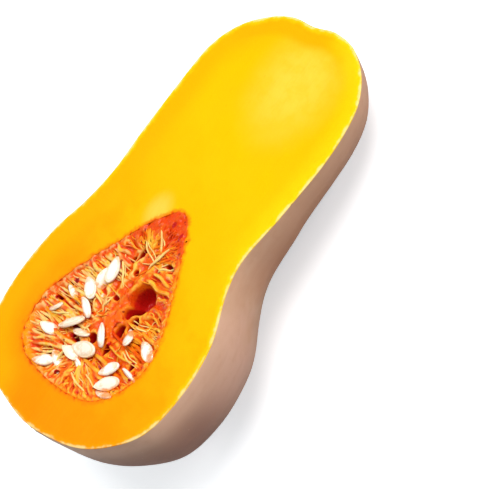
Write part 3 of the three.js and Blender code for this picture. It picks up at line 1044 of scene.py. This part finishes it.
def dressPulp(material, laid):
    tree, shader, place = startMaterial(material, laid)
    x, y, z = axes(tree, place)
    crease, pocket, fromRim = (attribute(tree, name) for name in ("crease", "pocket", "fromRim"))
    patches = mottle(tree, place, 11, 3.0, 0.4, 0.62)
    paleSide = times(tree, ranged(tree, y, -4, 10), ranged(tree, x, 105, 92))
    paleSide = times(tree, paleSide, mottle(tree, place, 3.5, 4.0, 0.35, 0.6))
    ridge = layered(tree, wet["amber"], (patches, wet["gold"]), (paleSide, wet["peach"]))
    glow = spot(tree, place, *wet["glow"], 0.3, 1.0)
    tipEnd = times(tree, ranged(tree, x, 98, 110), mottle(tree, place, 5, 4.0, 0.2, 0.42))
    blush = mottle(tree, mapped(tree, place, location=(31, 7, 3)), 13, 3.0, 0.52, 0.66)
    # the depth below the cut with a ragged edge, for the painted shade lower down
    wave = maths(tree, "ADD", z, ranged(tree, mottle(tree, place, 4, 3.0, 0.3, 0.7), 0.0, 1.0, -0.8, 0.8))
    rim = ranged(tree, fromRim, 1.2, 3.6, 1.0, 0.0)
    upperSide = maths(tree, "MAXIMUM", ranged(tree, y, -2, 14), ranged(tree, x, 88, 104))
    upperSide = times(tree, upperSide, ranged(tree, x, 44, 70, 0.25, 0.5))
    lowerSide = times(tree, ranged(tree, y, 8, -6), ranged(tree, x, 108, 98))
    lowerSide = times(tree, lowerSide, ranged(tree, fromRim, 0.2, 2.4, 0.85, 0.0))
    farEnd = times(tree, spot(tree, place, (30, 31, 0), (20, 24, 20), 0.5, 1.0),
                   ranged(tree, fromRim, 1.8, 4.4, 1.0, 0.0))
    # painted shade: small dark dots all over, and more along the rim, stand for little holes in shade
    dark = specks(tree, place, 4.6, 0.8, 0.3)
    atRim = times(tree, specks(tree, mapped(tree, place, location=(3, 8, 5)), 3.4, 0.9, 0.55),
                  ranged(tree, fromRim, 2.0, 4.0, 1.0, 0.0))
    tone = layered(tree, wet["orange"],
                   (ranged(tree, crease, 0.0, 0.34), ridge),
                   (times(tree, glow, 0.85), wet["orange"]),
                   # painted shade: the creases are laid red and deep red
                   (ranged(tree, crease, -0.3, -0.02, 0.85, 0.0), wet["red"]),
                   (ranged(tree, crease, -0.5, -0.2, 0.8, 0.0), wet["deepRed"]),
                   (times(tree, maths(tree, "MAXIMUM", tipEnd, blush), 0.8), wet["red"]),
                   # painted shade: pulp lying deeper below the cut is laid deep red
                   (ranged(tree, wave, -7.0, -4.8, 0.9, 0.0), wet["deepRed"]),
                   (times(tree, rim, upperSide), wet["red"]),
                   (maths(tree, "MAXIMUM", lowerSide, farEnd), wet["rimOrange"]),
                   # painted shade: the hollows are laid deep red and near black
                   (ranged(tree, pocket, 0.02, 0.3), wet["deepRed"]),
                   (ranged(tree, pocket, 0.45, 0.85, 0.0, 0.9), wet["dark"]),
                   # painted shade: the dark dots
                   (times(tree, maths(tree, "MAXIMUM", dark, atRim), 0.8), wet["dark"]))
    height = mottle(tree, place, 0.8, 4.0, 0.25, 0.75)
    rough = ranged(tree, mottle(tree, place, 3.0, 2.0), 0.0, 1.0, 0.2, 0.42)
    finish(tree, shader, tone, rough, bumped(tree, height, 0.0002, 0.6), wet["pulpFixed"])


def dressStrings(material, laid):
    tree, shader, place = startMaterial(material, laid)
    x, y, z = axes(tree, place)
    tint = maths(tree, "ADD", times(tree, attribute(tree, "tint"), 0.55),
                 times(tree, mottle(tree, place, 13, 2.0, 0.38, 0.62), 0.45))
    tint = maths(tree, "SUBTRACT", tint, ranged(tree, x, 98, 112, 0.0, 0.55))
    paleSide = times(tree, ranged(tree, y, -6, 9), ranged(tree, x, 108, 94))
    tint = maths(tree, "ADD", tint, ranged(tree, paleSide, 0.0, 1.0, -0.06, 0.2))
    tint = maths(tree, "SUBTRACT", tint, times(tree, spot(tree, place, *wet["glow"], 0.3, 1.0), 0.55))
    film = mottle(tree, place, 4.0, 3.0, 0.45, 0.7)
    tone = layered(tree, ramped(tree, tint, wet["byTint"]),
                   (times(tree, film, ranged(tree, tint, 0.95, 1.3, 0.6, 0.15)), wet["orange"]),
                   # painted shade: strings lying lower in the cavity are laid redder
                   (ranged(tree, z, -7.0, -3.6, 0.9, 0.0), wet["red"]))
    rough = ranged(tree, film, 0.0, 1.0, 0.25, 0.4)
    normal = bumped(tree, mottle(tree, place, 0.5, 3.0, 0.25, 0.75), 0.0001, 0.5)
    finish(tree, shader, tone, rough, normal, wet["stringsFixed"])


seedTones = {
    "ivory": colour(272, 265, 254),
    "cream": colour(266, 249, 226),
    "brim": colour(246, 206, 150),
    "juice": colour(250, 146, 46),
    "fixed": {"Coat Weight": 0.6, "Coat Roughness": 0.08, "Subsurface Weight": 0.2,
              "Subsurface Radius": (0.002, 0.0014, 0.001)},
}


def dressSeeds(material, laid):
    tree, shader, place = startMaterial(material, laid)
    tint, outward, clear = (attribute(tree, name) for name in ("tint", "outward", "clear"))
    groove = times(tree, ranged(tree, outward, 0.7, 0.82), ranged(tree, outward, 0.86, 0.97, 1.0, 0.3))
    film = mottle(tree, place, 5.0, 4.0, 0.48, 0.68)
    smear = mottle(tree, mapped(tree, place, location=(9, 2, 4)), 2.4, 4.0, 0.3, 0.7)
    over = maths(tree, "SUBTRACT", clear, times(tree, smear, 1.6))
    tone = layered(tree, seedTones["ivory"],
                   (ranged(tree, tint, 0.45, 1.0), seedTones["cream"]),
                   (times(tree, groove, 0.5), seedTones["brim"]),
                   (times(tree, film, 0.6), seedTones["brim"]),
                   (ranged(tree, over, -0.4, 1.7, 0.9, 0.0), seedTones["juice"]))
    rough = ranged(tree, film, 0.0, 1.0, 0.3, 0.2)
    normal = bumped(tree, mottle(tree, place, 0.9, 4.0, 0.25, 0.75), 0.00006, 0.5)
    finish(tree, shader, tone, rough, normal, seedTones["fixed"])


studio = {
    "view": {"from": (116.8, -637.8, 695.4), "at": (128.7, -44, 0), "up": (0.808, 0.441, 0.391),
             "lens": 147.24},
    "key": {"from": (1.0, -0.3, 1.85), "size": 1.4, "watts": 40, "tone": (1.0, 0.985, 0.965)},
    "fill": {"from": (-1.1, 1.8, 0.9), "size": 1.2, "watts": 14, "tone": (1.0, 0.98, 0.96)},
    "front": {"from": (1.9, -1.15, 0.85), "size": 0.8, "watts": 24, "tone": (1.0, 0.97, 0.95)},
    "sky": (0.9, 0.96, 1.0, 1.0),
    "skyStrength": 0.43,
    "backdrop": 0.92,           # how pale it looks behind the floor
    "floorGlow": 0.42,          # the floor is lit from below, for the eye alone
    "floor": (0.96, 0.96, 0.965, 1),
    "floorBounce": (0.4, 0.39, 0.38, 1),    # what it throws back on the squash
    "floorSize": 8,
    "floorLow": -0.0002,
    "fibres": (0.004, 0.012),   # how wide they are, and how far they show
}


def makeFloor():
    bpy.ops.mesh.primitive_plane_add(size=studio["floorSize"], location=(0, 0, 0))
    floor = bpy.context.object
    floor.name = "floor"
    places = points(floor)
    places[:, 2] = studio["floorLow"]
    setPoints(floor, places)
    paper = bpy.data.materials.new("paper")
    paper.use_nodes = True
    tree = paper.node_tree
    shader = tree.nodes["Principled BSDF"].inputs
    place = addNode(tree, "ShaderNodeTexCoord").outputs["Object"]
    seen = addNode(tree, "ShaderNodeLightPath").outputs["Is Camera Ray"]
    size, share = studio["fibres"]
    fibres = times(tree, mottle(tree, place, size), share)
    tone = mixed(tree, fibres, studio["floor"], studio["floorBounce"])
    tree.links.new(mixed(tree, seen, studio["floorBounce"], tone), shader["Base Color"])
    tree.links.new(times(tree, seen, studio["floorGlow"]), shader["Emission Strength"])
    setValues(shader, {"Roughness": 0.7, "Specular IOR Level": 0.1, "Emission Color": studio["sky"]})
    floor.data.materials.append(paper)


def makeLights():
    for name in ("key", "fill", "front"):
        settings = studio[name]
        bpy.ops.object.light_add(type="AREA", location=settings["from"])
        light = bpy.context.object
        light.name = name + "Light"
        light.data.shape = "DISK"
        light.data.size = settings["size"]
        light.data.energy = settings["watts"]
        light.data.color = settings["tone"]
        light.rotation_euler = Vector(settings["from"]).to_track_quat("Z", "Y").to_euler()
    world = bpy.data.worlds.new("studio")
    world.use_nodes = True
    tree = world.node_tree
    sky = tree.nodes["Background"].inputs
    seen = addNode(tree, "ShaderNodeLightPath").outputs["Is Camera Ray"]
    more = studio["backdrop"] - studio["skyStrength"]
    tree.links.new(maths(tree, "MULTIPLY_ADD", seen, more, studio["skyStrength"]), sky["Strength"])
    sky["Color"].default_value = studio["sky"]
    bpy.context.scene.world = world


def makeCamera(laid):
    settings = studio["view"]
    eye, target = Vector(settings["from"]), Vector(settings["at"])
    back = (eye - target).normalized()
    right = Vector(settings["up"]).cross(back).normalized()
    stance = Matrix((right, back.cross(right), back)).transposed()
    bpy.ops.object.camera_add(location=laid @ eye)
    camera = bpy.context.object
    camera.rotation_euler = (laid.to_3x3().normalized() @ stance).to_euler()
    camera.data.lens = settings["lens"]
    camera.data.sensor_width = 36
    camera.data.clip_start = 0.01
    bpy.context.scene.camera = camera
    bpy.context.scene.view_settings.view_transform = "Standard"
    bpy.context.scene.view_settings.look = "None"


dressed = {"rind": dressRind, "flesh": dressFlesh, "pulp": dressPulp, "strings": dressStrings,
           "seeds": dressSeeds, "cork": dressCork}
materials = {name: bpy.data.materials.new(name) for name in dressed}

half = makeHalf()
print("half", len(half.data.polygons))
pulpBed = makePulp()
markCreases(pulpBed)
print("pulp", len(pulpBed.data.polygons))
threads = makeStrings()
print("strings", len(threads.data.polygons))
seeds = makeSeeds()
print("seeds", len(seeds.data.polygons))
blossomScar = makeScar()
print("blossom scar", len(blossomScar.data.polygons))
pieces = {half: "flesh", pulpBed: "pulp", threads: "pulp", seeds: "seed", blossomScar: "rind"}
laid = layDown(pieces, half)
for piece, slot in pieces.items():
    onlyActive(piece)
    bpy.ops.object.shade_smooth_by_angle(angle=math.radians(40))
    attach(piece, "root")
for piece, name in ((pulpBed, "pulp"), (threads, "strings"), (seeds, "seeds"), (blossomScar, "cork")):
    piece.data.materials.clear()
    piece.data.materials.append(materials[name])
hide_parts("squash_half")
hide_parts("pulp_with_seeds")
for name, dress in dressed.items():
    dress(materials[name], laid)
print("materials")
makeFloor()
makeLights()
makeCamera(laid)
print("studio")
